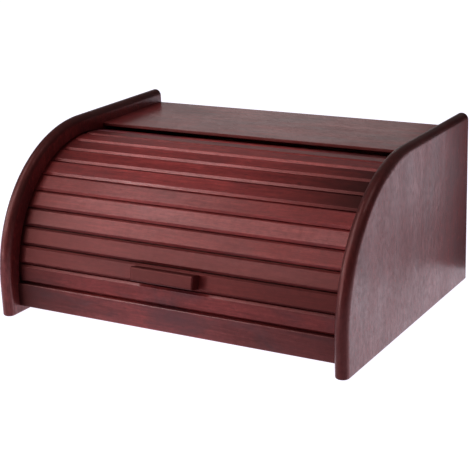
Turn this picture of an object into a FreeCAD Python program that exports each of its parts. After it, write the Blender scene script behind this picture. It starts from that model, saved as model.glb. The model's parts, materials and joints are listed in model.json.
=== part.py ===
"""Bread box with a roll-up slatted shutter.

Frame: X runs along the width, the front faces -Y, Z is up. The origin is the centre of the base,
so X = 0 is mid width, Y = 0 is mid depth and Z = 0 is the surface that the side panels stand on.
"""
import FreeCAD, Part
import math
import os
import Sketcher

os.makedirs("parts", exist_ok=True)
doc = FreeCAD.newDocument("bread_box")

# ---------------------------------------------------------------- driving dimensions (mm, degrees)
DIMENSIONS = [
    # the whole box
    ("box_width", 390.0),
    ("box_depth", 296.0),
    ("box_height", 180.0),
    # side panels
    ("panel_thick", 14.0),
    ("front_radius", 147.0),      # the quarter round from the front edge to the top edge
    ("nose_radius", 6.8),         # rounding of the panels' front and top edges
    ("foot_round", 2.0),          # softened lower edges
    # shutter, all radii about the centre of the front quarter round
    ("slat_count", 13.0),
    ("slat_step", 8.75),          # degrees from one slat to the next
    ("slat_face_radius", 129.0),
    ("slat_thick", 7.0),
    ("slat_width", 18.3),
    ("slat_chamfer", 2.1),
    ("slat_round", 0.4),          # softening of the chamfers' edges
    ("slat_face_length", 354.0),
    ("tongue_thick", 3.7),
    ("tongue_step", 2.1),         # how far the tongue lies behind the slat's face
    ("tongue_span", 373.0),       # over both tongues
    ("canvas_thick", 0.8),
    ("canvas_gap", 0.3),
    ("canvas_length", 330.0),
    ("canvas_margin", 0.6),       # degrees that the canvas ends short of the end slats' edges
    # the curved groove in each side panel
    ("track_inner_radius", 122.6),
    ("track_outer_radius", 129.0),
    ("track_depth", 6.5),
    ("track_start", 0.8),         # degrees below the centre's level at the front
    ("track_end", 7.4),           # degrees below the centre's level at the back
    # fixed boards
    ("rail_setback", 14.7),
    ("rail_thick", 12.0),
    ("rail_bottom", 8.3),
    ("rail_round", 1.0),
    ("housing_depth", 5.0),       # how far the boards enter the side panels
    ("floor_thick", 4.0),
    ("floor_bottom", 11.3),
    ("floor_into_rail", 4.0),
    ("roof_thick", 3.2),
    ("roof_drop", 14.7),          # from the panels' top edge to the top board
    ("roof_depth", 117.0),
    ("roof_round", 0.6),
    ("back_thick", 4.0),
    ("back_rebate", 6.0),
    # handle and its screws
    ("handle_slat", 2.0),
    ("handle_length", 70.0),
    ("handle_width", 13.5),
    ("handle_projection", 12.0),
    ("handle_round", 1.6),
    ("handle_offset", -2.0),
    ("screw_spacing", 44.0),
    ("screw_radius", 1.7),
    ("screw_head_radius", 3.4),
    ("screw_head_thick", 2.2),
    ("screw_length", 13.0),
    ("screw_clearance", 0.2),
    ("head_recess", 2.5),
    # dowels between the rail and the side panels
    ("dowel_radius", 3.0),
    ("dowel_length", 30.0),
    ("dowel_in_panel", 9.5),
    ("dowel_low", 17.0),
    ("dowel_high", 26.5),
    ("dowel_setback", 4.5),       # from the rail's front face to the dowels' axis
    ("peg_clearance", 0.05),
    ("blind_extra", 0.5),         # how much deeper a blind hole is than what fills it
    ("overcut", 1.0),             # how far a cut runs past the face that it starts from
    # brads through the back panel
    ("nail_rows", 4.0),
    ("nail_first", 22.0),
    ("nail_step", 42.0),
    ("nail_radius", 0.8),
    ("nail_head_radius", 1.6),
    ("nail_head_thick", 0.6),
    ("nail_length", 18.0),
]

sheet = doc.addObject("Spreadsheet::Sheet", "dims")
for row, (alias, number) in enumerate(DIMENSIONS, start=1):
    sheet.set("A%d" % row, alias)
    sheet.set("B%d" % row, repr(number))
    sheet.setAlias("B%d" % row, alias)
doc.recompute()


def value(alias):
    """One number from the sheet."""
    return float(getattr(sheet, alias))


def bind(thing, path, expression):
    """Tie a property or a sketch constraint to the sheet. Aliases are written as dims.alias."""
    thing.setExpression(path, expression)


# places that several pieces share, worked out from the sheet
FRONT_Y = -value("box_depth") / 2
BACK_Y = value("box_depth") / 2
CENTRE_Y = FRONT_Y + value("front_radius")
CENTRE_Z = value("box_height") - value("front_radius")
INNER_X = value("box_width") / 2 - value("panel_thick")
PANEL_TOP = value("box_height")
RAIL_FRONT = FRONT_Y + value("rail_setback")
ROOF_TOP = PANEL_TOP - value("roof_drop")
CENTRE_Y_TEXT = "(dims.front_radius - dims.box_depth / 2)"
CENTRE_Z_TEXT = "(dims.box_height - dims.front_radius)"
INNER_X_TEXT = "(dims.box_width / 2 - dims.panel_thick)"
ROOF_TOP_TEXT = "(dims.box_height - dims.roof_drop)"
RAIL_FRONT_TEXT = "(dims.rail_setback - dims.box_depth / 2)"


# ---------------------------------------------------------------- helpers
def vec(a, b):
    return FreeCAD.Vector(a, b, 0)


def new_body(label):
    body = doc.addObject("PartDesign::Body", label)
    body.Label = label
    return body


def new_sketch(body, role, name):
    """A sketch on one of the body's own origin planes. On YZ_Plane its axes are Y and Z."""
    plane = [item for item in body.Origin.OriginFeatures if item.Role == role][0]
    sketch = body.newObject("Sketcher::SketchObject", name)
    sketch.AttachmentSupport = [(plane, "")]
    sketch.MapMode = "FlatFace"
    return sketch


def dimension(sketch, kind, arguments, expression):
    """Add one driving constraint to a sketch and tie it to the sheet."""
    index = sketch.addConstraint(Sketcher.Constraint(kind, *arguments))
    bind(sketch, "Constraints[%d]" % index, expression)


def place_point(sketch, element, point, across, up):
    """Fix a sketch point. across and up are (number, expression) from the sketch's origin."""
    for kind, (number, expression) in (("DistanceX", across), ("DistanceY", up)):
        if abs(number) < 1e-9:
            axis = -2 if kind == "DistanceX" else -1
            sketch.addConstraint(Sketcher.Constraint("PointOnObject", element, point, axis))
        elif number > 0:
            dimension(sketch, kind, (-1, 1, element, point, number), expression)
        else:
            dimension(sketch, kind, (element, point, -1, 1, -number), "-(%s)" % expression)


def draw_rectangle(sketch, low, high):
    """A rectangle from its low and high corners, each given as two (number, expression) pairs."""
    (x0, y0), (x1, y1) = [(corner[0][0], corner[1][0]) for corner in (low, high)]
    corners = [vec(x0, y0), vec(x1, y0), vec(x1, y1), vec(x0, y1)]
    first = sketch.GeometryCount
    for i in range(4):
        sketch.addGeometry(Part.LineSegment(corners[i], corners[(i + 1) % 4]))
    for i in range(4):
        sketch.addConstraint(Sketcher.Constraint("Coincident", first + i, 2, first + (i + 1) % 4, 1))
    for i, kind in enumerate(("Horizontal", "Vertical", "Horizontal", "Vertical")):
        sketch.addConstraint(Sketcher.Constraint(kind, first + i))
    place_point(sketch, first, 1, *low)
    place_point(sketch, first + 1, 2, *high)


def draw_circle(sketch, centre, radius):
    """A circle. centre is two (number, expression) pairs, radius is one."""
    spot = vec(centre[0][0], centre[1][0])
    index = sketch.addGeometry(Part.Circle(spot, FreeCAD.Vector(0, 0, 1), radius[0]))
    dimension(sketch, "Radius", (index, radius[0]), radius[1])
    place_point(sketch, index, 3, *centre)


def draw_ring_sector(sketch, centre, inner, outer, start, end):
    """A sector of a ring. start and end are (degrees, expression), anticlockwise from the sketch's X."""
    middle = vec(centre[0][0], centre[1][0])
    low = math.radians(start[0])
    high = math.radians(end[0])
    up = FreeCAD.Vector(0, 0, 1)

    def at(radius, angle):
        return middle + vec(radius * math.cos(angle), radius * math.sin(angle))

    big = sketch.addGeometry(Part.ArcOfCircle(Part.Circle(middle, up, outer[0]), low, high))
    small = sketch.addGeometry(Part.ArcOfCircle(Part.Circle(middle, up, inner[0]), low, high))
    first = sketch.addGeometry(Part.LineSegment(at(inner[0], low), at(outer[0], low)))
    last = sketch.addGeometry(Part.LineSegment(at(inner[0], high), at(outer[0], high)))
    at_start = ((small, 1, first, 1), (big, 1, first, 2))
    at_end = ((small, 2, last, 1), (big, 2, last, 2))
    for pair in (*at_start, *at_end, (small, 3, big, 3)):
        sketch.addConstraint(Sketcher.Constraint("Coincident", *pair))
    for line in (first, last):
        sketch.addConstraint(Sketcher.Constraint("PointOnObject", big, 3, line))
    dimension(sketch, "Radius", (big, outer[0]), outer[1])
    dimension(sketch, "Radius", (small, inner[0]), inner[1])
    place_point(sketch, big, 3, *centre)
    for line, (degrees, expression) in ((first, start), (last, end)):
        dimension(sketch, "Angle", (line, math.radians(degrees)), "(%s) * 1 deg" % expression)


def add_pad(body, sketch, name, length, reversed_=False, symmetric=False):
    pad = body.newObject("PartDesign::Pad", name)
    pad.Profile = sketch
    pad.SideType = "Symmetric" if symmetric else "One side"
    pad.Reversed = reversed_
    bind(pad, "Length", length)
    doc.recompute()
    return pad


def add_pocket(body, sketch, name, length, reversed_=False):
    """Cut a pocket and make sure that it has removed material."""
    before = body.Shape.Volume
    pocket = body.newObject("PartDesign::Pocket", name)
    pocket.Profile = sketch
    pocket.Reversed = reversed_
    bind(pocket, "Length", length)
    doc.recompute()
    if body.Shape.Volume > before - 1e-3:
        raise RuntimeError("pocket %s of %s removes nothing" % (name, body.Label))
    return pocket


def edges_where(shape, test, along_x=False):
    """Names of the edges whose every sampled point passes the test, or only those that run along X."""
    names = []
    for i, edge in enumerate(shape.Edges, start=1):
        points = edge.discretize(5)
        runs_along = abs((points[0] - points[-1]).x) > edge.Length - 1e-6
        if all(test(point) for point in points) and (runs_along or not along_x):
            names.append("Edge%d" % i)
    return names


def add_fillet(body, base, names, radius, name):
    fillet = body.newObject("PartDesign::Fillet", name)
    fillet.Base = (base, names)
    bind(fillet, "Radius", radius)
    doc.recompute()
    return fillet


def lift(sketch, expression):
    """Shift a sketch along its plane's normal."""
    bind(sketch, "AttachmentOffset.Base.z", expression)


subparts = []

# pairs of (number, expression) used by the sketches
CENTRE = ((CENTRE_Y, CENTRE_Y_TEXT), (CENTRE_Z, CENTRE_Z_TEXT))
BACK_FACE = (BACK_Y, "dims.box_depth / 2")
PAST_BACK = (BACK_Y + value("overcut"), "dims.box_depth / 2 + dims.overcut")
FLOOR_LOW = (value("floor_bottom"), "dims.floor_bottom")
FLOOR_HIGH = (value("floor_bottom") + value("floor_thick"), "dims.floor_bottom + dims.floor_thick")
FLOOR_FRONT = (RAIL_FRONT + value("rail_thick") - value("floor_into_rail"),
               RAIL_FRONT_TEXT + " + dims.rail_thick - dims.floor_into_rail")
ROOF_LOW = (ROOF_TOP - value("roof_thick"), ROOF_TOP_TEXT + " - dims.roof_thick")
ROOF_HIGH = (ROOF_TOP, ROOF_TOP_TEXT)
ROOF_FRONT = (BACK_Y - value("roof_depth"), "dims.box_depth / 2 - dims.roof_depth")
BACK_FRONT = (BACK_Y - value("back_thick"), "dims.box_depth / 2 - dims.back_thick")
RAIL_LOW = (value("rail_bottom"), "dims.rail_bottom")
DOWEL_Y = (RAIL_FRONT + value("dowel_setback"), RAIL_FRONT_TEXT + " + dims.dowel_setback")
DOWEL_HEIGHTS = [(value(name), "dims." + name) for name in ("dowel_low", "dowel_high")]
DOWEL_HOLE = (value("dowel_radius") + value("peg_clearance"), "dims.dowel_radius + dims.peg_clearance")
NAIL_HOLE = (value("nail_radius") + value("peg_clearance"), "dims.nail_radius + dims.peg_clearance")
NAIL_HEAD_HOLE = (value("nail_head_radius") + value("peg_clearance"),
                  "dims.nail_head_radius + dims.peg_clearance")
NAIL_X_TEXT = "(" + INNER_X_TEXT + " + dims.back_rebate / 2)"
NAIL_X = INNER_X + value("back_rebate") / 2
NAIL_DEPTH_TEXT = "dims.nail_length + dims.nail_head_thick - dims.back_thick + dims.blind_extra"


# ---------------------------------------------------------------- side panels
def draw_panel_outline(sketch):
    """Square back and foot, level top, quarter round down to a short upright front."""
    up = FreeCAD.Vector(0, 0, 1)
    bottom = sketch.addGeometry(Part.LineSegment(vec(FRONT_Y, 0), vec(BACK_Y, 0)))
    back = sketch.addGeometry(Part.LineSegment(vec(BACK_Y, 0), vec(BACK_Y, PANEL_TOP)))
    top = sketch.addGeometry(Part.LineSegment(vec(BACK_Y, PANEL_TOP), vec(CENTRE_Y, PANEL_TOP)))
    round_ = Part.Circle(vec(CENTRE_Y, CENTRE_Z), up, value("front_radius"))
    arc = sketch.addGeometry(Part.ArcOfCircle(round_, math.pi / 2, math.pi))
    front = sketch.addGeometry(Part.LineSegment(vec(FRONT_Y, CENTRE_Z), vec(FRONT_Y, 0)))
    for level in (bottom, top):
        sketch.addConstraint(Sketcher.Constraint("Horizontal", level))
    for upright in (back, front):
        sketch.addConstraint(Sketcher.Constraint("Vertical", upright))
    for pair in ((bottom, 2, back, 1), (back, 2, top, 1), (front, 2, bottom, 1)):
        sketch.addConstraint(Sketcher.Constraint("Coincident", *pair))
    for pair in ((top, 2, arc, 1), (arc, 2, front, 1)):
        sketch.addConstraint(Sketcher.Constraint("Tangent", *pair))
    place_point(sketch, back, 1, BACK_FACE, (0.0, "0"))
    dimension(sketch, "DistanceX", (bottom, 1, bottom, 2, value("box_depth")), "dims.box_depth")
    dimension(sketch, "DistanceY", (back, 1, back, 2, PANEL_TOP), "dims.box_height")
    dimension(sketch, "Radius", (arc, value("front_radius")), "dims.front_radius")


def edges_at_back(shape, name):
    """Whether the named edge lies in the box's back face."""
    edge = shape.getElement(name)
    return all(point.y > BACK_Y - 1e-3 for point in edge.discretize(3))


def make_side_panel(label, hand):
    """hand is +1 for the right panel and -1 for the left. The inner face lies on the body's own YZ plane."""
    body = new_body(label)
    outward = hand < 0
    outline = new_sketch(body, "YZ_Plane", "outline")
    draw_panel_outline(outline)
    pad = add_pad(body, outline, "board", "dims.panel_thick", reversed_=outward)

    def at_a_face(point):
        return min(abs(point.x), abs(abs(point.x) - value("panel_thick"))) < 1e-3

    def on_nose(point):
        beyond_arc = math.hypot(point.y - CENTRE_Y, point.z - CENTRE_Z) > value("front_radius") - 1e-3
        in_front = point.y < FRONT_Y + 1e-3
        on_arc = point.y < CENTRE_Y + 1e-3 and point.z > CENTRE_Z - 1e-3 and beyond_arc
        return at_a_face(point) and (in_front or on_arc or point.z > PANEL_TOP - 1e-3)

    nose = add_fillet(body, pad, edges_where(pad.Shape, on_nose), "dims.nose_radius", "nose")
    foot_edges = [name for name in edges_where(nose.Shape, lambda point: point.z < 1e-3)
                  if not edges_at_back(nose.Shape, name)]
    add_fillet(body, nose, foot_edges, "dims.foot_round", "foot")

    # pockets start at the inner face and cut towards the outer face
    inward = hand > 0
    track = new_sketch(body, "YZ_Plane", "track_outline")
    draw_ring_sector(track, CENTRE,
                     (value("track_inner_radius"), "dims.track_inner_radius"),
                     (value("track_outer_radius"), "dims.track_outer_radius"),
                     (-value("track_end"), "-dims.track_end"),
                     (180 + value("track_start"), "180 + dims.track_start"))
    add_pocket(body, track, "track", "dims.track_depth", reversed_=inward)

    roof = new_sketch(body, "YZ_Plane", "roof_outline")
    draw_rectangle(roof, (ROOF_FRONT, ROOF_LOW), (PAST_BACK, ROOF_HIGH))
    add_pocket(body, roof, "roof_housing", "dims.housing_depth", reversed_=inward)

    floor = new_sketch(body, "YZ_Plane", "floor_outline")
    draw_rectangle(floor, (FLOOR_FRONT, FLOOR_LOW), (BACK_FRONT, FLOOR_HIGH))
    add_pocket(body, floor, "floor_housing", "dims.housing_depth", reversed_=inward)

    rebate = new_sketch(body, "YZ_Plane", "rebate_outline")
    draw_rectangle(rebate, (BACK_FRONT, RAIL_LOW), (PAST_BACK, ROOF_LOW))
    add_pocket(body, rebate, "back_rebate", "dims.back_rebate", reversed_=inward)

    dowels = new_sketch(body, "YZ_Plane", "dowel_outline")
    for height in DOWEL_HEIGHTS:
        draw_circle(dowels, (DOWEL_Y, height), DOWEL_HOLE)
    add_pocket(body, dowels, "dowel_holes", "dims.dowel_in_panel + dims.blind_extra", reversed_=inward)

    nails = new_sketch(body, "XZ_Plane", "nail_outline")
    lift(nails, "-(dims.box_depth / 2 - dims.back_thick)")
    draw_circle(nails, ((hand * value("back_rebate") / 2, "%d * dims.back_rebate / 2" % hand),
                        (value("nail_first"), "dims.nail_first")), NAIL_HOLE)
    hole = add_pocket(body, nails, "nail_hole", NAIL_DEPTH_TEXT, reversed_=True)
    repeat_upwards(body, [hole], nails)

    bind(body, ".Placement.Base.x", "%d * %s" % (hand, INNER_X_TEXT))
    subparts.append(body)


def repeat_upwards(body, features, sketch):
    """Repeat a nail hole's features up the height of the box."""
    before = body.Shape.Volume
    pattern = body.newObject("PartDesign::LinearPattern", sketch.Name + "_row")
    pattern.Originals = features
    pattern.Direction = (sketch, ["V_Axis"])
    bind(pattern, "Length", "(dims.nail_rows - 1) * dims.nail_step")
    pattern.Occurrences = int(value("nail_rows"))
    body.Tip = pattern
    doc.recompute()
    if body.Shape.Volume > before - 1e-3:
        raise RuntimeError("pattern of %s removes nothing" % body.Label)


make_side_panel("side_panel_left", -1)
make_side_panel("side_panel_right", 1)


# ---------------------------------------------------------------- fixed boards
def make_board(label, section, length, name="board"):
    """A board whose section lies in the YZ plane, centred on X = 0."""
    body = new_body(label)
    sketch = new_sketch(body, "YZ_Plane", "section")
    draw_rectangle(sketch, *section)
    pad = add_pad(body, sketch, name, length, symmetric=True)
    return body, pad


def make_front_rail():
    """A fixed board under the shutter, grooved behind for the floor and bored at its ends for dowels."""
    back = (RAIL_FRONT + value("rail_thick"), RAIL_FRONT_TEXT + " + dims.rail_thick")
    past_back = (back[0] + value("overcut"), back[1] + " + dims.overcut")
    low = ((RAIL_FRONT, RAIL_FRONT_TEXT), RAIL_LOW)
    high = (back, (CENTRE_Z, CENTRE_Z_TEXT))
    body, pad = make_board("front_rail", (low, high), "2 * " + INNER_X_TEXT)

    def long_front_edge(point):
        at_top_or_foot = min(abs(point.z - CENTRE_Z), abs(point.z - RAIL_LOW[0])) < 1e-3
        return abs(point.y - RAIL_FRONT) < 1e-3 and at_top_or_foot

    add_fillet(body, pad, edges_where(pad.Shape, long_front_edge), "dims.rail_round", "soft_edges")
    groove = new_sketch(body, "YZ_Plane", "floor_outline")
    draw_rectangle(groove, (FLOOR_FRONT, FLOOR_LOW), (past_back, FLOOR_HIGH))
    cut = add_pocket(body, groove, "floor_groove", "2 * " + INNER_X_TEXT)
    cut.SideType = "Symmetric"
    for side, hand in (("left", -1), ("right", 1)):
        holes = new_sketch(body, "YZ_Plane", "dowel_outline_" + side)
        lift(holes, "%d * %s" % (hand, INNER_X_TEXT))
        for height in DOWEL_HEIGHTS:
            draw_circle(holes, (DOWEL_Y, height), DOWEL_HOLE)
        add_pocket(body, holes, "dowel_holes_" + side,
                   "dims.dowel_length - dims.dowel_in_panel + dims.blind_extra", reversed_=hand < 0)
    subparts.append(body)


def make_back_panel():
    """Thin back in the panels' rebates, with the brads' holes along both sides."""
    body, _ = make_board("back_panel", ((BACK_FRONT, RAIL_LOW), (BACK_FACE, ROOF_LOW)),
                         "2 * (%s + dims.back_rebate)" % INNER_X_TEXT)
    for side, hand in (("left", -1), ("right", 1)):
        nails = new_sketch(body, "XZ_Plane", "nail_outline_" + side)
        lift(nails, "-(dims.box_depth / 2 - dims.back_thick)")
        draw_circle(nails, ((hand * NAIL_X, "%d * %s" % (hand, NAIL_X_TEXT)),
                            (value("nail_first"), "dims.nail_first")), NAIL_HOLE)
        hole = add_pocket(body, nails, "nail_hole_" + side, "dims.back_thick + dims.overcut")
        heads = new_sketch(body, "XZ_Plane", "nail_head_outline_" + side)
        lift(heads, "-(dims.box_depth / 2 - dims.nail_head_thick)")
        draw_circle(heads, ((hand * NAIL_X, "%d * %s" % (hand, NAIL_X_TEXT)),
                            (value("nail_first"), "dims.nail_first")), NAIL_HEAD_HOLE)
        sink = add_pocket(body, heads, "nail_head_sink_" + side, "dims.nail_head_thick + dims.overcut")
        repeat_upwards(body, [hole, sink], nails)
    subparts.append(body)


def make_bottom_board():
    """Thin floor, held in grooves of the side panels and the rail."""
    body, _ = make_board("bottom_board", ((FLOOR_FRONT, FLOOR_LOW), (BACK_FRONT, FLOOR_HIGH)),
                         "2 * (%s + dims.housing_depth)" % INNER_X_TEXT)
    subparts.append(body)


def make_top_board():
    """Thin board over the back half of the box, held in grooves of the side panels."""
    body, pad = make_board("top_board", ((ROOF_FRONT, ROOF_LOW), (BACK_FACE, ROOF_HIGH)),
                           "2 * (%s + dims.housing_depth)" % INNER_X_TEXT)
    front_edges = edges_where(pad.Shape, lambda point: point.y < ROOF_FRONT[0] + 1e-3, along_x=True)
    add_fillet(body, pad, front_edges, "dims.roof_round", "soft_edges")
    subparts.append(body)


make_front_rail()
make_back_panel()
make_bottom_board()
make_top_board()


# ---------------------------------------------------------------- shutter
def turn_to_slat(thing, number):
    """Swing a piece that is drawn upright about the shutter's centre to the place of slat `number`."""
    angle = "90 - (%s - 0.5) * dims.slat_step" % number
    thing.Placement = FreeCAD.Placement(FreeCAD.Vector(0, CENTRE_Y, CENTRE_Z),
                                        FreeCAD.Rotation(FreeCAD.Vector(1, 0, 0), 45))
    bind(thing, ".Placement.Base.y", CENTRE_Y_TEXT)
    bind(thing, ".Placement.Base.z", CENTRE_Z_TEXT)
    bind(thing, ".Placement.Rotation.Angle", "(%s) * 1 deg" % angle)


def draw_slat_section(sketch):
    """A flat bar with two chamfered front edges. The sketch's Y is the distance from the shutter's centre."""
    half = value("slat_width") / 2
    face = value("slat_face_radius")
    chamfer = value("slat_chamfer")
    back = face - value("slat_thick")
    points = [vec(-half, back), vec(half, back), vec(half, face - chamfer), vec(half - chamfer, face),
              vec(chamfer - half, face), vec(-half, face - chamfer)]
    count = len(points)
    for i in range(count):
        sketch.addGeometry(Part.LineSegment(points[i], points[(i + 1) % count]))
    for i in range(count):
        sketch.addConstraint(Sketcher.Constraint("Coincident", i, 2, (i + 1) % count, 1))
    for kind, element in (("Horizontal", 0), ("Vertical", 1), ("Horizontal", 3), ("Vertical", 5)):
        sketch.addConstraint(Sketcher.Constraint(kind, element))
    back_text = "dims.slat_face_radius - dims.slat_thick"
    place_point(sketch, 0, 1, (-half, "-dims.slat_width / 2"), (back, back_text))
    dimension(sketch, "DistanceX", (0, 1, 0, 2, 2 * half), "dims.slat_width")
    dimension(sketch, "DistanceY", (1, 2, 2, 2, chamfer), "dims.slat_chamfer")
    dimension(sketch, "DistanceX", (2, 2, 2, 1, chamfer), "dims.slat_chamfer")
    dimension(sketch, "DistanceX", (4, 2, 4, 1, chamfer), "dims.slat_chamfer")
    dimension(sketch, "DistanceY", (0, 2, 2, 2, value("slat_thick")), "dims.slat_thick")


def make_slat(number):
    """A slat with a thinner tongue at each end, which runs in the side panels' grooves."""
    body = new_body("slat_%02d" % number)
    section = new_sketch(body, "YZ_Plane", "section")
    draw_slat_section(section)
    bar = add_pad(body, section, "bar", "dims.slat_face_length", symmetric=True)
    shoulder = value("slat_face_radius") - value("slat_chamfer")
    face_edges = edges_where(bar.Shape, lambda point: point.z > shoulder - 1e-3, along_x=True)
    add_fillet(body, bar, face_edges, "dims.slat_round", "soft_edges")
    tongue = new_sketch(body, "YZ_Plane", "tongue_section")
    half = (value("slat_width") / 2, "dims.slat_width / 2")
    minus_half = (-half[0], "-dims.slat_width / 2")
    top = (value("slat_face_radius") - value("tongue_step"), "dims.slat_face_radius - dims.tongue_step")
    bottom = (top[0] - value("tongue_thick"), top[1] + " - dims.tongue_thick")
    draw_rectangle(tongue, (minus_half, bottom), (half, top))
    add_pad(body, tongue, "tongues", "dims.tongue_span", symmetric=True)
    if number == int(value("handle_slat")):
        slat_back = "dims.slat_face_radius - dims.slat_thick"
        bore_for_screws(body, "recess", "screw_head_radius", "screw_clearance", slat_back, "dims.head_recess")
        bore_for_screws(body, "bore", "screw_radius", "screw_clearance", slat_back, "dims.slat_thick")
    turn_to_slat(body, number)
    subparts.append(body)


def screw_places():
    """The two screws' X, each as (number, expression)."""
    for hand in (-1, 1):
        yield (value("handle_offset") + hand * value("screw_spacing") / 2,
               "(dims.handle_offset + %d * dims.screw_spacing / 2)" % hand)


def bore_for_screws(body, name, radius, clearance, start, depth):
    """Two holes of a radius plus a clearance, bored outwards from the distance `start`."""
    outline = new_sketch(body, "XY_Plane", name + "_outline")
    lift(outline, start)
    size = (value(radius) + value(clearance), "dims.%s + dims.%s" % (radius, clearance))
    for spot in screw_places():
        draw_circle(outline, (spot, (0.0, "0")), size)
    add_pocket(body, outline, name, depth, reversed_=True)


def make_handle():
    """A small bar with softened front edges, screwed on from behind."""
    body = new_body("handle")
    outline = new_sketch(body, "XY_Plane", "footprint")
    lift(outline, "dims.slat_face_radius")
    low_x = (value("handle_offset") - value("handle_length") / 2,
             "dims.handle_offset - dims.handle_length / 2")
    high_x = (value("handle_offset") + value("handle_length") / 2,
              "dims.handle_offset + dims.handle_length / 2")
    half = (value("handle_width") / 2, "dims.handle_width / 2")
    draw_rectangle(outline, (low_x, (-half[0], "-" + half[1])), (high_x, half))
    pad = add_pad(body, outline, "bar", "dims.handle_projection")
    front = value("slat_face_radius") + value("handle_projection")
    front_edges = edges_where(pad.Shape, lambda point: abs(point.z - front) < 1e-3)
    add_fillet(body, pad, front_edges, "dims.handle_round", "soft_edges")
    bore_for_screws(body, "pilot", "screw_radius", "peg_clearance", "dims.slat_face_radius",
                    "dims.screw_length + dims.head_recess - dims.slat_thick + dims.blind_extra")
    turn_to_slat(body, "dims.handle_slat")
    subparts.append(body)


def add_cylinder(label, radius, length, spot, axis):
    """A cylinder that starts at spot, three expressions, and runs along axis."""
    rod = doc.addObject("Part::Cylinder", label)
    bind(rod, "Radius", radius)
    bind(rod, "Height", length)
    rod.Placement.Rotation = FreeCAD.Rotation(FreeCAD.Vector(0, 0, 1), FreeCAD.Vector(*axis))
    for letter, expression in zip("xyz", spot):
        bind(rod, ".Placement.Base." + letter, expression)
    return rod


def add_headed_pin(label, spot, axis, shank, head):
    """A pin whose head starts at spot. shank and head are (radius, length) expressions."""
    steps = ["%s + %g * %s" % (place, part, head[1]) for place, part in zip(spot, axis)]
    pin = doc.addObject("Part::MultiFuse", label)
    pin.Shapes = [add_cylinder(label + "_head", head[0], head[1], spot, axis),
                  add_cylinder(label + "_shank", shank[0], shank[1], steps, axis)]
    return pin


def make_group(label, pieces):
    group = doc.addObject("Part::Compound", label)
    group.Label = label
    group.Links = pieces
    subparts.append(group)
    return group


def make_handle_screws():
    """Two screws with cylindrical heads, sunk in the back of the slat."""
    base = "dims.slat_face_radius - dims.slat_thick + dims.head_recess - dims.screw_head_thick"
    screws = []
    for i, spot in enumerate(screw_places()):
        screws.append(add_headed_pin("screw_%d" % (i + 1), (spot[1], "0", base), (0, 0, 1),
                                     ("dims.screw_radius", "dims.screw_length"),
                                     ("dims.screw_head_radius", "dims.screw_head_thick")))
    turn_to_slat(make_group("handle_screws", screws), "dims.handle_slat")


def make_canvas():
    """The cloth behind the slats: one curved strip."""
    body = new_body("canvas_backing")
    outline = new_sketch(body, "YZ_Plane", "section")
    outer = value("slat_face_radius") - value("slat_thick") - value("canvas_gap")
    outer_text = "dims.slat_face_radius - dims.slat_thick - dims.canvas_gap"
    span = value("slat_count") * value("slat_step")
    margin = value("canvas_margin")
    draw_ring_sector(outline, CENTRE,
                     (outer - value("canvas_thick"), outer_text + " - dims.canvas_thick"),
                     (outer, outer_text),
                     (180 - span + margin, "180 - dims.slat_count * dims.slat_step + dims.canvas_margin"),
                     (180 - margin, "180 - dims.canvas_margin"))
    add_pad(body, outline, "cloth", "dims.canvas_length", symmetric=True)
    subparts.append(body)


for slat_number in range(1, int(value("slat_count")) + 1):
    make_slat(slat_number)
make_handle()
make_handle_screws()
make_canvas()


# ---------------------------------------------------------------- dowels and brads
def make_dowels():
    dowels = []
    for hand in (-1, 1):
        start = "%d * (%s + dims.dowel_in_panel)" % (hand, INNER_X_TEXT)
        for i, height in enumerate(DOWEL_HEIGHTS):
            name = "dowel_%s_%d" % ("left" if hand < 0 else "right", i + 1)
            dowels.append(add_cylinder(name, "dims.dowel_radius", "dims.dowel_length",
                                       (start, DOWEL_Y[1], height[1]), (-hand, 0, 0)))
    make_group("rail_dowels", dowels)


def make_nails():
    nails = []
    for hand in (-1, 1):
        for i in range(int(value("nail_rows"))):
            name = "nail_%s_%d" % ("left" if hand < 0 else "right", i + 1)
            spot = ("%d * %s" % (hand, NAIL_X_TEXT), "dims.box_depth / 2",
                    "dims.nail_first + %d * dims.nail_step" % i)
            nails.append(add_headed_pin(name, spot, (0, -1, 0), ("dims.nail_radius", "dims.nail_length"),
                                        ("dims.nail_head_radius", "dims.nail_head_thick")))
    make_group("back_panel_nails", nails)


make_dowels()
make_nails()
doc.recompute()

# ---------------------------------------------------------------- check and write
for item in doc.Objects:
    if "Invalid" in item.State or "Error" in item.State:
        raise RuntimeError("%s failed: %s" % (item.Label, item.State))
for item in subparts:
    if item.Shape.isNull() or not item.Shape.isValid():
        raise RuntimeError("%s has no valid shape" % item.Label)
    item.Shape.exportStep("parts/%s.step" % item.Label)
    box = item.Shape.optimalBoundingBox()
    print("%-18s %9.1f mm3  x %7.1f %7.1f  y %7.1f %7.1f  z %7.1f %7.1f"
          % (item.Label, item.Shape.Volume, box.XMin, box.XMax, box.YMin, box.YMax, box.ZMin, box.ZMax))
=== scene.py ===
"""Looks of the bread box with a roll-up shutter: stained beech, canvas backing, studio and camera."""

import json
import math

import bmesh
import bpy
from mathutils import Matrix, Quaternion, Vector


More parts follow.
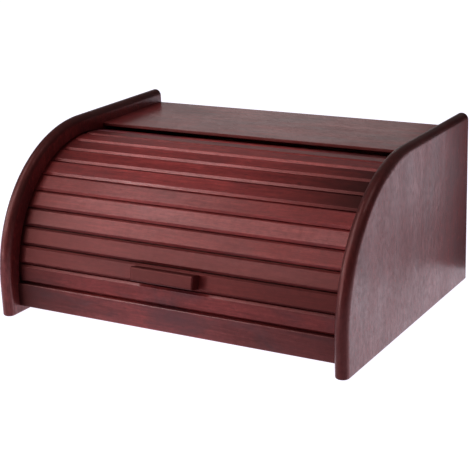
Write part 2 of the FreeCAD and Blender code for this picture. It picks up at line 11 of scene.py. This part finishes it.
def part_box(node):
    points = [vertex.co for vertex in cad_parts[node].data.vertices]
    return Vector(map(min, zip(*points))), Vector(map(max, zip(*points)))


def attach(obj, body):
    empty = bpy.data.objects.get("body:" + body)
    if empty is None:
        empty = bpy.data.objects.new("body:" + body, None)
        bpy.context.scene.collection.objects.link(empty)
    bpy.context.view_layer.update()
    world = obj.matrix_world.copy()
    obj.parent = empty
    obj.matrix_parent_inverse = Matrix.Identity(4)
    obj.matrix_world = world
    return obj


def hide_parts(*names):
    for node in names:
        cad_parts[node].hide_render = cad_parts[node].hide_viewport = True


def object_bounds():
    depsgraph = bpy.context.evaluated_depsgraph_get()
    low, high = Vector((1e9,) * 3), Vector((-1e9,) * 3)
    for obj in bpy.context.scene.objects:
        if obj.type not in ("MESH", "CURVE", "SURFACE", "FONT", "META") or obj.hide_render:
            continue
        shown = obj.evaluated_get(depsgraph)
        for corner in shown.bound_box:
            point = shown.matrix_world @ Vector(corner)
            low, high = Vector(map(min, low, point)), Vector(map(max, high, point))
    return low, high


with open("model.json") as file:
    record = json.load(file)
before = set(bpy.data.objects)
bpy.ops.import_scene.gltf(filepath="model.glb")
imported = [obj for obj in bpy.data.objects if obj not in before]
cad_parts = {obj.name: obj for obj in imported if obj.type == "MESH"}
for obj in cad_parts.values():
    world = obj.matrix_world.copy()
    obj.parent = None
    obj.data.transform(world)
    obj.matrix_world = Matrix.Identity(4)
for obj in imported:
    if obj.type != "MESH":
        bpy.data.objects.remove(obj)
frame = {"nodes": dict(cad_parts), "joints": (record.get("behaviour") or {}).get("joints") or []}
cad_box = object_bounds()

SHUTTER = "shutter"
NODES = frame["nodes"]
SLATS = sorted(name for name in NODES if name.startswith("slat_"))
AXLE = Vector(frame["joints"][0]["pos_m"])     # centre of the round grooves and of the shutter
WORKTOP = cad_box[0].z


# ---------------------------------------------------------------- helpers
def rgb(red, green, blue):
    return (red, green, blue, 1.0)


def direction(azimuth, elevation):
    """Unit vector away from the box: azimuth in degrees to the right of the front, elevation upwards."""
    a = math.radians(azimuth)
    e = math.radians(elevation)
    return Vector((math.sin(a) * math.cos(e), -math.cos(a) * math.cos(e), math.sin(e)))


class Tree:
    """Short calls that add nodes to a material or a world and link them."""

    def __init__(self, owner):
        owner.use_nodes = True
        self.tree = owner.node_tree
        self.tree.nodes.clear()

    def add(self, kind, inputs=None, **settings):
        item = self.tree.nodes.new(kind)
        for key, number in settings.items():
            setattr(item, key, number)
        for key, source in (inputs or {}).items():
            self.feed(item, key, source)
        return item

    def feed(self, item, key, source):
        """Give an input a number or link another node's output to it."""
        if isinstance(source, bpy.types.NodeSocket):
            self.tree.links.new(source, item.inputs[key])
        else:
            item.inputs[key].default_value = source

    def math(self, operation, first, second=0.0, clamp=False):
        item = self.add("ShaderNodeMath", {0: first, 1: second}, operation=operation, use_clamp=clamp)
        return item.outputs[0]

    def times(self, first, second, clamp=False):
        return self.math("MULTIPLY", first, second, clamp)

    def one_less(self, source):
        return self.math("SUBTRACT", 1.0, source)

    def scaled(self, place, cells):
        """The place in cells, given how many cells a metre has along X, Y and Z."""
        return self.add("ShaderNodeVectorMath", {0: place, 1: cells}, operation="MULTIPLY").outputs[0]

    def place(self):
        """The place on the object, in metres."""
        return self.add("ShaderNodeTexCoord").outputs["Object"]

    def part(self, vector, axis):
        return self.add("ShaderNodeSeparateXYZ", {"Vector": vector}).outputs[axis]

    def noise(self, place, detail=2.0, roughness=0.5, distortion=0.0):
        item = self.add("ShaderNodeTexNoise", {"Vector": place, "Scale": 1.0, "Detail": detail,
                                               "Roughness": roughness, "Distortion": distortion})
        return item.outputs["Fac"]

    def spread(self, source, low, high, to_low=0.0, to_high=1.0):
        item = self.add("ShaderNodeMapRange", {"Value": source, "From Min": low, "From Max": high,
                                               "To Min": to_low, "To Max": to_high}, clamp=True)
        return item.outputs["Result"]

    def about_one(self, noise, amount):
        """A noise turned into a factor that swings by the amount to either side of one."""
        return self.spread(noise, 0.30, 0.70, 1.0 - amount, 1.0 + amount)

    def blend(self, amount, first, second):
        item = self.add("ShaderNodeMix", {0: amount}, data_type="RGBA")
        self.feed(item, 6, first)
        self.feed(item, 7, second)
        return item.outputs[2]

    def surface(self, shader):
        self.add("ShaderNodeOutputMaterial", {"Surface": shader.outputs[0]})


def dress(node, material):
    """Give a CAD part its material in every slot."""
    data = NODES[node].data
    if not data.materials:
        data.materials.append(material)
    for index in range(len(data.materials)):
        data.materials[index] = material


# ---------------------------------------------------------------- wood
DARK_STAIN = rgb(0.066, 0.0050, 0.0060)
MID_STAIN = rgb(0.135, 0.0125, 0.0130)
LIGHT_STAIN = rgb(0.225, 0.0270, 0.0240)
PORE_STAIN = rgb(0.022, 0.0026, 0.0034)
# The purplish colour below stands partly for uneven stain and partly for a painted cool sheen.
COOL_STAIN_AND_SHEEN = rgb(0.030, 0.0070, 0.0120)
LACQUER_TINT = rgb(1.0, 0.26, 0.24)

# Noise scales, in cells per metre along the grain, across it and through the board.
CLOUD_CELLS = (9.0, 20.0, 20.0)
PATCH_CELLS = (13.0, 30.0, 30.0)
FIGURE_CELLS = (8.0, 120.0, 70.0)
STREAK_CELLS = (18.0, 430.0, 380.0)
FIBRE_CELLS = (45.0, 1100.0, 1100.0)
PORE_CELLS = (190.0, 1300.0, 1000.0)
SPECKLE_CELLS = (170.0, 260.0, 260.0)
RAY_CELLS = (150.0, 620.0, 620.0)
WAVE_CELLS = (9.0, 45.0, 45.0)
# Noise scales in cells per metre along X, Y and Z.
BLOTCH_CELLS = (90.0, 36.0, 36.0)
BEECH_CELLS = (40.0, 900.0, 900.0)
ZINC_CELLS = (700.0, 700.0, 700.0)
SLUB_CELLS = (60.0, 900.0, 900.0)

# Places along X, in metres, where the painted shade at a board's ends is full and where it starts.
LEFT_SHADE_FULL, LEFT_SHADE_START = -0.178, -0.085
RIGHT_SHADE_START, RIGHT_SHADE_FULL = 0.030, 0.178
# Heights between which the painted light on the foot of a panel's edge fades out.
LIT_FOOT_LOW, LIT_FOOT_HIGH = 0.03, 0.10


def stained_wood(name, along, seed=0.0, tone=1.0, turn=0.0, gloss=0.55, ends=(0.0, 0.0), face="X",
                 rim=0.0, foot=0.0, mottle=0.25, cool=0.35, flecks=0.0, speckles=0.24):
    """Mahogany-stained beech under a semi-gloss lacquer.

    along: the axis that the grain runs along. turn: the tilt of the grain's layers about X, in radians.
    seed: shifts the figure, so that no two boards are alike. tone: how light the stain is; on the slats
    it also paints each slat's light and shade.
    gloss: how much lacquer lies on the board. ends: painted shade toward its left and right ends, which
    also thins the lacquer there; below nought it paints light.
    mottle, speckles: how uneven stain and lacquer are, in large and in small patches.
    cool: how strong the purplish patches are, partly uneven stain and partly a painted cool sheen.
    flecks: how much the beech rays show on the broad faces.
    rim: how much darker the edges are, with thinner lacquer. foot: painted light near the worktop, which
    takes back that much of the rim there, and past the rim makes the edge lighter and glossier than the
    face. face: the axis that the broad faces look along. It tells them from the edges, and matters only
    to a board with rim or flecks.
    """
    material = bpy.data.materials.new(name)
    t = Tree(material)
    coordinates = t.add("ShaderNodeTexCoord")
    place = coordinates.outputs["Object"]
    turned = t.add("ShaderNodeMapping", {"Vector": place, "Rotation": (turn, 0.0, 0.0),
                                         "Location": (seed * 0.37, seed * 0.71, seed * 0.53)}).outputs[0]

    def grained(cells, **settings):
        """Noise whose cells follow the grain."""
        lengthwise, crosswise, depthwise = cells
        scale = {"X": (lengthwise, crosswise, depthwise), "Z": (depthwise, crosswise, lengthwise)}[along]
        return t.noise(t.scaled(turned, scale), **settings)

    cloud = grained(CLOUD_CELLS, detail=3.0, roughness=0.55)
    patches = grained(PATCH_CELLS, detail=4.0, roughness=0.6, distortion=0.4)
    figure = grained(FIGURE_CELLS, detail=3.0, roughness=0.6, distortion=0.5)
    streaks = grained(STREAK_CELLS, detail=3.0, roughness=0.65)
    fibre = grained(FIBRE_CELLS, detail=2.0, roughness=0.7)
    pores = t.spread(grained(PORE_CELLS, detail=1.0, roughness=0.4), 0.27, 0.36, 1.0, 0.0)
    speckle = grained(SPECKLE_CELLS, detail=3.0, roughness=0.7)
    rays = t.spread(grained(RAY_CELLS, detail=1.0), 0.62, 0.70)
    waves = grained(WAVE_CELLS, detail=2.0)
    blotches = t.noise(t.scaled(turned, BLOTCH_CELLS), detail=3.0, roughness=0.6)

    # how deep the stain has gone in, from the figure down to the fibres
    grain = t.math("ADD", t.times(streaks, 0.35), t.times(fibre, 0.38))
    depth = t.math("ADD", t.times(figure, 0.27), grain)
    ramp = t.add("ShaderNodeValToRGB", {"Fac": t.spread(depth, 0.33, 0.67)})
    ramp.color_ramp.elements[0].color = DARK_STAIN
    ramp.color_ramp.elements[1].color = LIGHT_STAIN
    middle = ramp.color_ramp.elements.new(0.5)
    middle.color = MID_STAIN

    # painted shade toward the ends, darker edges, and painted light at the foot of the edges
    across = t.part(place, "X")
    left = t.spread(across, LEFT_SHADE_FULL, LEFT_SHADE_START, ends[0], 0.0)
    right = t.spread(across, RIGHT_SHADE_START, RIGHT_SHADE_FULL, 0.0, ends[1])
    end = t.one_less(t.math("ADD", left, right))
    facing = t.math("ABSOLUTE", t.part(coordinates.outputs["Normal"], face))
    edge = t.spread(facing, 0.94, 0.995, 1.0, 0.0)
    edge_depth = t.times(edge, t.spread(t.part(place, "Z"), LIT_FOOT_LOW, LIT_FOOT_HIGH, rim - foot, rim))
    edge_tone = t.one_less(edge_depth)
    edge_film = t.one_less(t.times(edge_depth, t.spread(blotches, 0.36, 0.64, 1.40, 0.75)))

    # the stain's colour, with the painted shade at the ends, the painted light at the foot and each
    # slat's painted light and shade in tone
    uneven = t.times(t.about_one(cloud, mottle), t.about_one(speckle, speckles))
    value = t.times(t.times(uneven, end), t.times(edge_tone, tone))
    # purplish patches, partly uneven stain and partly a painted cool sheen
    coolness = t.times(t.spread(patches, 0.50, 0.66), cool)
    purplish = t.blend(coolness, ramp.outputs["Color"], COOL_STAIN_AND_SHEEN)
    toned = t.add("ShaderNodeHueSaturation", {"Color": purplish, "Value": value}).outputs["Color"]
    face_rays = t.times(rays, t.one_less(edge))
    rayed = t.blend(t.times(face_rays, flecks), toned, LIGHT_STAIN)
    colour = t.blend(t.times(pores, 0.5), rayed, PORE_STAIN)

    # the lacquer: thinner where the grain is dark, on the rays and on the edges, and thinner with the
    # painted shade at the ends, which dims the reflection there too
    film = t.times(t.spread(grain, 0.22, 0.51, 0.70, 1.28), t.spread(patches, 0.3, 0.7, 0.88, 1.10))
    film = t.times(film, t.one_less(t.times(face_rays, 0.4 * flecks)))
    lacquer = t.times(t.times(film, uneven), t.times(t.times(edge_film, end), gloss), clamp=True)

    relief = t.math("SUBTRACT", t.times(fibre, 0.5), t.times(pores, 0.8))
    bump = t.add("ShaderNodeBump", {"Height": relief, "Strength": 0.12, "Distance": 0.0004})
    ripple = t.add("ShaderNodeBump", {"Height": waves, "Strength": 0.3, "Distance": 0.0014,
                                      "Normal": bump.outputs["Normal"]})
    t.surface(t.add("ShaderNodeBsdfPrincipled", {
        "Base Color": colour, "Roughness": t.spread(depth, 0.3, 0.7, 0.42, 0.54),
        "Normal": bump.outputs["Normal"], "Specular IOR Level": 1.0, "Specular Tint": LACQUER_TINT,
        "Coat Weight": lacquer, "Coat Roughness": 0.25, "Coat IOR": 1.5,
        "Coat Normal": ripple.outputs["Normal"]}))
    return material


def slat_angle(node):
    """Tilt of a slat about the shutter's centre, measured from upright front to level top."""
    low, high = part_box(node)
    centre = (Vector(low) + Vector(high)) / 2 - AXLE
    return math.atan2(centre.z, -centre.y)


# One row a slat, from the rail up: tone, which also paints the light and shade that the slat's tilt gets
# from the lamps, gloss, the painted shade at its left and at its right end, and how purplish its stain
# and painted sheen are.
SLAT_LOOKS = (
    (1.30, 0.64, 0.85, 0.35, 0.80),
    (0.66, 0.12, 0.40, 0.60, 0.35),
    (0.66, 0.22, 0.70, 0.05, 0.30),
    (1.04, 0.48, 0.65, -0.10, 0.30),
    (1.40, 0.56, 0.55, 0.10, 0.25),
    (1.36, 0.43, 0.40, 0.00, 0.25),
    (1.72, 0.62, 0.35, 1.00, 0.25),
    (1.90, 0.72, 0.60, 1.00, 0.25),
    (2.20, 0.80, 0.60, 0.85, 0.30),
    (2.35, 0.66, 0.45, 0.45, 0.40),
    (1.38, 0.22, 0.35, 0.00, 0.50),
    (3.20, 1.00, -0.15, 1.00, 1.00),
    (3.90, 1.00, -0.20, 0.10, 1.00),
)
FIRST_SLAT_SEED = 3.1
SLAT_SEED_STEP = 1.7


def dress_shutter():
    for index, (slat, look) in enumerate(zip(SLATS, SLAT_LOOKS)):
        tone, gloss, left_end_shade, right_end_shade, cool = look
        # each slat's tone and end values paint its light and shade
        dress(slat, stained_wood("stain_" + slat, "X", seed=FIRST_SLAT_SEED + SLAT_SEED_STEP * index,
                                 tone=tone, gloss=gloss, turn=-slat_angle(slat),
                                 ends=(left_end_shade, right_end_shade), mottle=0.18, cool=cool))
    dress("handle", stained_wood("stain_handle", "X", seed=41.0, tone=0.34, gloss=0.06,
                                 turn=-slat_angle("handle")))


def dress_case():
    # The rail's and the top board's end values paint shade toward their ends.
    dress("front_rail", stained_wood("stain_rail", "X", seed=53.0, tone=1.10, gloss=1.0,
                                     ends=(1.0, 0.70), mottle=0.25, cool=0.8))
    dress("top_board", stained_wood("stain_top", "X", seed=61.0, tone=2.2, gloss=0.9,
                                    ends=(0.3, 0.15), mottle=0.22, face="Z", rim=0.75))
    # On the left panel foot exceeds rim, so painted light makes its edges lighter and glossier near the
    # worktop.
    for side, seed, rim, foot in (("left", 71.0, 0.66, 1.01), ("right", 83.0, 0.58, 0.15)):
        panel = "side_panel_" + side
        dress(panel, stained_wood("stain_" + panel, "Z", seed=seed, tone=0.75, gloss=0.70, rim=rim,
                                  foot=foot, cool=0.45, flecks=0.7, speckles=0.38))
    dress("bottom_board", stained_wood("stain_floor", "X", seed=91.0, tone=1.1, gloss=0.4))
    dress("back_panel", stained_wood("stain_back", "X", seed=97.0, tone=1.1, gloss=0.4))


# ---------------------------------------------------------------- dowels, screws and brads
def raw_beech():
    """Unstained beech, for the dowels."""
    material = bpy.data.materials.new("raw_beech")
    t = Tree(material)
    grain = t.noise(t.scaled(t.place(), BEECH_CELLS), detail=3.0)
    colour = t.blend(grain, rgb(0.46, 0.27, 0.13), rgb(0.62, 0.42, 0.24))
    bump = t.add("ShaderNodeBump", {"Height": grain, "Strength": 0.2, "Distance": 0.0003})
    t.surface(t.add("ShaderNodeBsdfPrincipled", {"Base Color": colour, "Roughness": 0.62,
                                                 "Normal": bump.outputs["Normal"]}))
    return material


def zinc_steel():
    """Zinc-plated steel, slightly dull and cloudy, for the screws and the brads."""
    material = bpy.data.materials.new("zinc_steel")
    t = Tree(material)
    cloud = t.noise(t.scaled(t.place(), ZINC_CELLS), detail=3.0)
    colour = t.blend(cloud, rgb(0.40, 0.40, 0.38), rgb(0.58, 0.58, 0.55))
    t.surface(t.add("ShaderNodeBsdfPrincipled", {"Base Color": colour, "Metallic": 1.0,
                                                 "Roughness": t.spread(cloud, 0.3, 0.7, 0.28, 0.45)}))
    return material


def dress_fixings():
    dress("rail_dowels", raw_beech())
    steel = zinc_steel()
    for fixing in ("handle_screws", "back_panel_nails"):
        dress(fixing, steel)


# ---------------------------------------------------------------- canvas
CLOTH_THICK = 0.0007
CLOTH_DIP = 0.0004             # how far the cloth sinks in at each joint between two slats
CLOTH_INSET = 0.0006           # how far from a slat's long edge the cloth leaves its back
CLOTH_COLUMNS = 48
THREAD_PITCH = 0.0011
SLAT_STEPS = (-1.0, -0.93, -0.8, -0.4, 0.0, 0.4, 0.8, 0.93, 1.0)    # rows of cloth, in half widths


def slat_back(node):
    """A slat's angle, its back's distance from the axle and half its width."""
    angle = slat_angle(node)
    outward = Vector((0.0, -math.cos(angle), math.sin(angle)))
    upward = Vector((0.0, math.sin(angle), math.cos(angle)))
    places = [vertex.co - AXLE for vertex in NODES[node].data.vertices]
    return angle, min(place.dot(outward) for place in places), max(place.dot(upward) for place in places)


def cloth_line():
    """The cloth's middle as (y, z) points from the rail up: flat on each slat, dipping at the joints."""
    backs = [slat_back(slat) for slat in SLATS]
    line = []
    for index, (angle, distance, half) in enumerate(backs):
        distance -= CLOTH_THICK
        for step in SLAT_STEPS:
            along = step * (half - CLOTH_INSET)
            line.append((AXLE.y - distance * math.cos(angle) + along * math.sin(angle),
                         AXLE.z + distance * math.sin(angle) + along * math.cos(angle)))
        if index + 1 < len(backs):
            middle = (angle + backs[index + 1][0]) / 2
            radius = math.hypot(distance, half) - CLOTH_DIP
            line.append((AXLE.y - radius * math.cos(middle), AXLE.z + radius * math.sin(middle)))
    return line


def canvas_material():
    """Plain-woven brown cotton: threads along X and round the arc, with a soft nap."""
    material = bpy.data.materials.new("brown_canvas")
    t = Tree(material)
    place = t.place()
    up = t.math("SUBTRACT", t.part(place, "Z"), AXLE.z)
    forward = t.math("SUBTRACT", AXLE.y, t.part(place, "Y"))
    threads = 2 * math.pi / THREAD_PITCH
    sheet_radius = slat_back(SLATS[0])[1]
    weft = t.math("SINE", t.times(t.math("ARCTAN2", up, forward), sheet_radius * threads))
    warp = t.math("SINE", t.times(t.part(place, "X"), threads))
    slub = t.noise(t.scaled(place, SLUB_CELLS), detail=2.0)
    height = t.math("ADD", t.times(t.times(weft, warp), 0.5), slub)
    colour = t.blend(t.spread(height, 0.0, 1.1), rgb(0.065, 0.040, 0.028), rgb(0.200, 0.130, 0.090))
    bump = t.add("ShaderNodeBump", {"Height": height, "Strength": 0.6, "Distance": 0.0002})
    t.surface(t.add("ShaderNodeBsdfPrincipled", {
        "Base Color": colour, "Roughness": 0.88, "Sheen Weight": 0.15, "Sheen Roughness": 0.5,
        "Normal": bump.outputs["Normal"]}))
    return material


def canvas_mesh(line, left, right):
    """A thin closed sheet with the line as its profile, from x = left to x = right."""
    spots = [left + (right - left) * i / CLOTH_COLUMNS for i in range(CLOTH_COLUMNS + 1)]
    cloth = bmesh.new()
    layers = []
    for side in (0.5, -0.5):
        layer = []
        for y, z in line:
            away = Vector((0.0, y - AXLE.y, z - AXLE.z)).normalized()
            layer.append([cloth.verts.new(Vector((x, y, z)) + away * side * CLOTH_THICK) for x in spots])
        layers.append(layer)
    outer, inner = layers
    last = len(line) - 1
    for row in range(last):
        for i in range(CLOTH_COLUMNS):
            cloth.faces.new((outer[row][i], outer[row][i + 1], outer[row + 1][i + 1], outer[row + 1][i]))
            cloth.faces.new((inner[row][i], inner[row + 1][i], inner[row + 1][i + 1], inner[row][i + 1]))
        for i in (0, CLOTH_COLUMNS):
            cloth.faces.new((outer[row][i], outer[row + 1][i], inner[row + 1][i], inner[row][i]))
    for row in (0, last):
        for i in range(CLOTH_COLUMNS):
            cloth.faces.new((outer[row][i], inner[row][i], inner[row][i + 1], outer[row][i + 1]))
    bmesh.ops.recalc_face_normals(cloth, faces=cloth.faces)
    for cloth_face in cloth.faces:
        cloth_face.smooth = True
    mesh = bpy.data.meshes.new("canvas")
    cloth.to_mesh(mesh)
    cloth.free()
    return mesh


def make_canvas():
    """The cloth that is glued to the slats' backs and holds them together."""
    low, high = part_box("canvas_backing")
    line = cloth_line()
    mesh = canvas_mesh(line, low.x, high.x)
    sheet = bpy.data.objects.new("canvas", mesh)
    bpy.context.collection.objects.link(sheet)
    mesh.materials.append(canvas_material())
    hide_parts("canvas_backing")
    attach(sheet, SHUTTER)


# ---------------------------------------------------------------- studio
STUDIO_WHITE = rgb(1.03, 1.0, 1.13)
FLOOR_GLOW = 1.0
FLOOR_RADIUS = 9.0
FLOOR_LEVEL = WORKTOP - 0.0002
CARD_LEVEL = WORKTOP - 0.0001
WORLD_GLOW = 0.11

# Name, azimuth and elevation in degrees, distance, size, roll in degrees, power.
LIGHTS = (
    ("key", -52.0, 46.0, 1.3, (0.88, 0.34), -47.0, 3.0),
    ("key_right", -27.0, 50.0, 1.3, (0.40, 0.38), 0.0, 0.9),
    ("front_left", -32.0, 22.0, 1.3, (0.75, 0.25), 0.0, 2.4),
    ("low_left", -34.0, 5.0, 1.3, (0.20, 0.16), 0.0, 1.35),
    ("left", -62.0, 18.0, 1.3, (0.40, 0.30), 0.0, 2.2),
    ("behind_left", -150.0, 14.0, 1.5, (0.80, 0.30), 0.0, 0.35),
    ("overhead", 60.0, 70.0, 1.4, (0.60, 0.60), 0.0, 1.6),
)
LIGHT_TARGET = Vector((0.0, 0.0, 0.08))

# Name, centre, size, tilt about Y in degrees, glow.
CARDS = (
    ("upright_card", (0.255, 0.465, 0.225), (0.45, 0.46), 90.0, 0.0),
    ("floor_card", (0.230, 0.345, CARD_LEVEL), (0.048, 0.33), 0.0, 0.0),
    ("side_card", (0.300, 0.250, CARD_LEVEL), (0.088, 0.30), 0.0, 0.5),
    ("front_card", (0.0, -0.62, CARD_LEVEL), (2.0, 0.95), 0.0, 0.5),
)

CAMERA_AZIMUTH = 30.612        # in degrees, as are the next two
CAMERA_ELEVATION = 17.466
CAMERA_ROLL = -2.229
CAMERA_DISTANCE = 1.32
CAMERA_AIM = Vector((0.0027, -0.0053, 0.0698))
CAMERA_LENS = 98.76            # in millimetres, as is the sensor's width
CAMERA_SENSOR = 36.0


def glowing_matt(name, grey, glow):
    """A matt grey surface that also gives off the studio's white."""
    material = bpy.data.materials.new(name)
    t = Tree(material)
    matt = t.add("ShaderNodeBsdfDiffuse", {"Color": rgb(grey, grey, grey)})
    shine = t.add("ShaderNodeEmission", {"Color": STUDIO_WHITE, "Strength": glow})
    t.surface(t.add("ShaderNodeAddShader", {0: matt.outputs[0], 1: shine.outputs[0]}))
    return material


def make_floor():
    mesh = bpy.data.meshes.new("floor")
    disc = bmesh.new()
    bmesh.ops.create_circle(disc, cap_ends=True, segments=96, radius=FLOOR_RADIUS)
    disc.to_mesh(mesh)
    disc.free()
    floor = bpy.data.objects.new("floor", mesh)
    bpy.context.collection.objects.link(floor)
    floor.location.z = FLOOR_LEVEL
    mesh.materials.append(glowing_matt("pale_floor", 0.30, FLOOR_GLOW))


def make_world():
    world = bpy.data.worlds.new("studio")
    bpy.context.scene.world = world
    t = Tree(world)
    back = t.add("ShaderNodeBackground", {"Color": rgb(1.0, 1.0, 1.0), "Strength": WORLD_GLOW})
    t.add("ShaderNodeOutputWorld", {"Surface": back.outputs[0]})


def make_card(name, centre, size, tilt, glow):
    """A card that the camera doesn't see. The lacquer mirrors it, and it shades or lights the box."""
    mesh = bpy.data.meshes.new(name)
    square = bmesh.new()
    bmesh.ops.create_grid(square, x_segments=1, y_segments=1, size=0.5)
    square.to_mesh(mesh)
    square.free()
    card = bpy.data.objects.new(name, mesh)
    bpy.context.collection.objects.link(card)
    card.scale = (size[0], size[1], 1.0)
    card.rotation_euler.y = math.radians(tilt)
    card.location = centre
    card.visible_camera = False
    mesh.materials.append(glowing_matt(name + "_cloth", 0.01, glow))


def place_light(name, azimuth, elevation, distance, size, roll, power):
    """A soft light on a sphere round the box, facing it."""
    away = direction(azimuth, elevation)
    data = bpy.data.lights.new(name, "AREA")
    data.shape = "RECTANGLE"
    data.size, data.size_y = size
    data.energy = power
    light = bpy.data.objects.new(name, data)
    bpy.context.collection.objects.link(light)
    light.location = LIGHT_TARGET + away * distance
    light.rotation_mode = "QUATERNION"
    rolled = Quaternion((0.0, 0.0, 1.0), math.radians(roll))
    light.rotation_quaternion = away.to_track_quat("Z", "Y") @ rolled


def make_camera():
    """The view of a person who stands to the right and looks from a little above."""
    roll = math.radians(CAMERA_ROLL)
    back = direction(CAMERA_AZIMUTH, CAMERA_ELEVATION)
    right = (-back).cross(Vector((0, 0, 1))).normalized()
    up = right.cross(-back)
    turned_right = math.cos(roll) * right + math.sin(roll) * up
    turned_up = math.cos(roll) * up - math.sin(roll) * right
    data = bpy.data.cameras.new("camera")
    data.lens = CAMERA_LENS
    data.sensor_width = CAMERA_SENSOR
    camera = bpy.data.objects.new("camera", data)
    bpy.context.collection.objects.link(camera)
    camera.matrix_world = Matrix.Translation(CAMERA_AIM + back * CAMERA_DISTANCE) @ Matrix(
        (turned_right, turned_up, back)).transposed().to_4x4()
    bpy.context.scene.camera = camera


dress_shutter()
dress_case()
dress_fixings()
make_canvas()
make_floor()
make_world()
for card_settings in CARDS:
    make_card(*card_settings)
for light_settings in LIGHTS:
    place_light(*light_settings)
make_camera()
bpy.context.scene.view_settings.view_transform = "Standard"
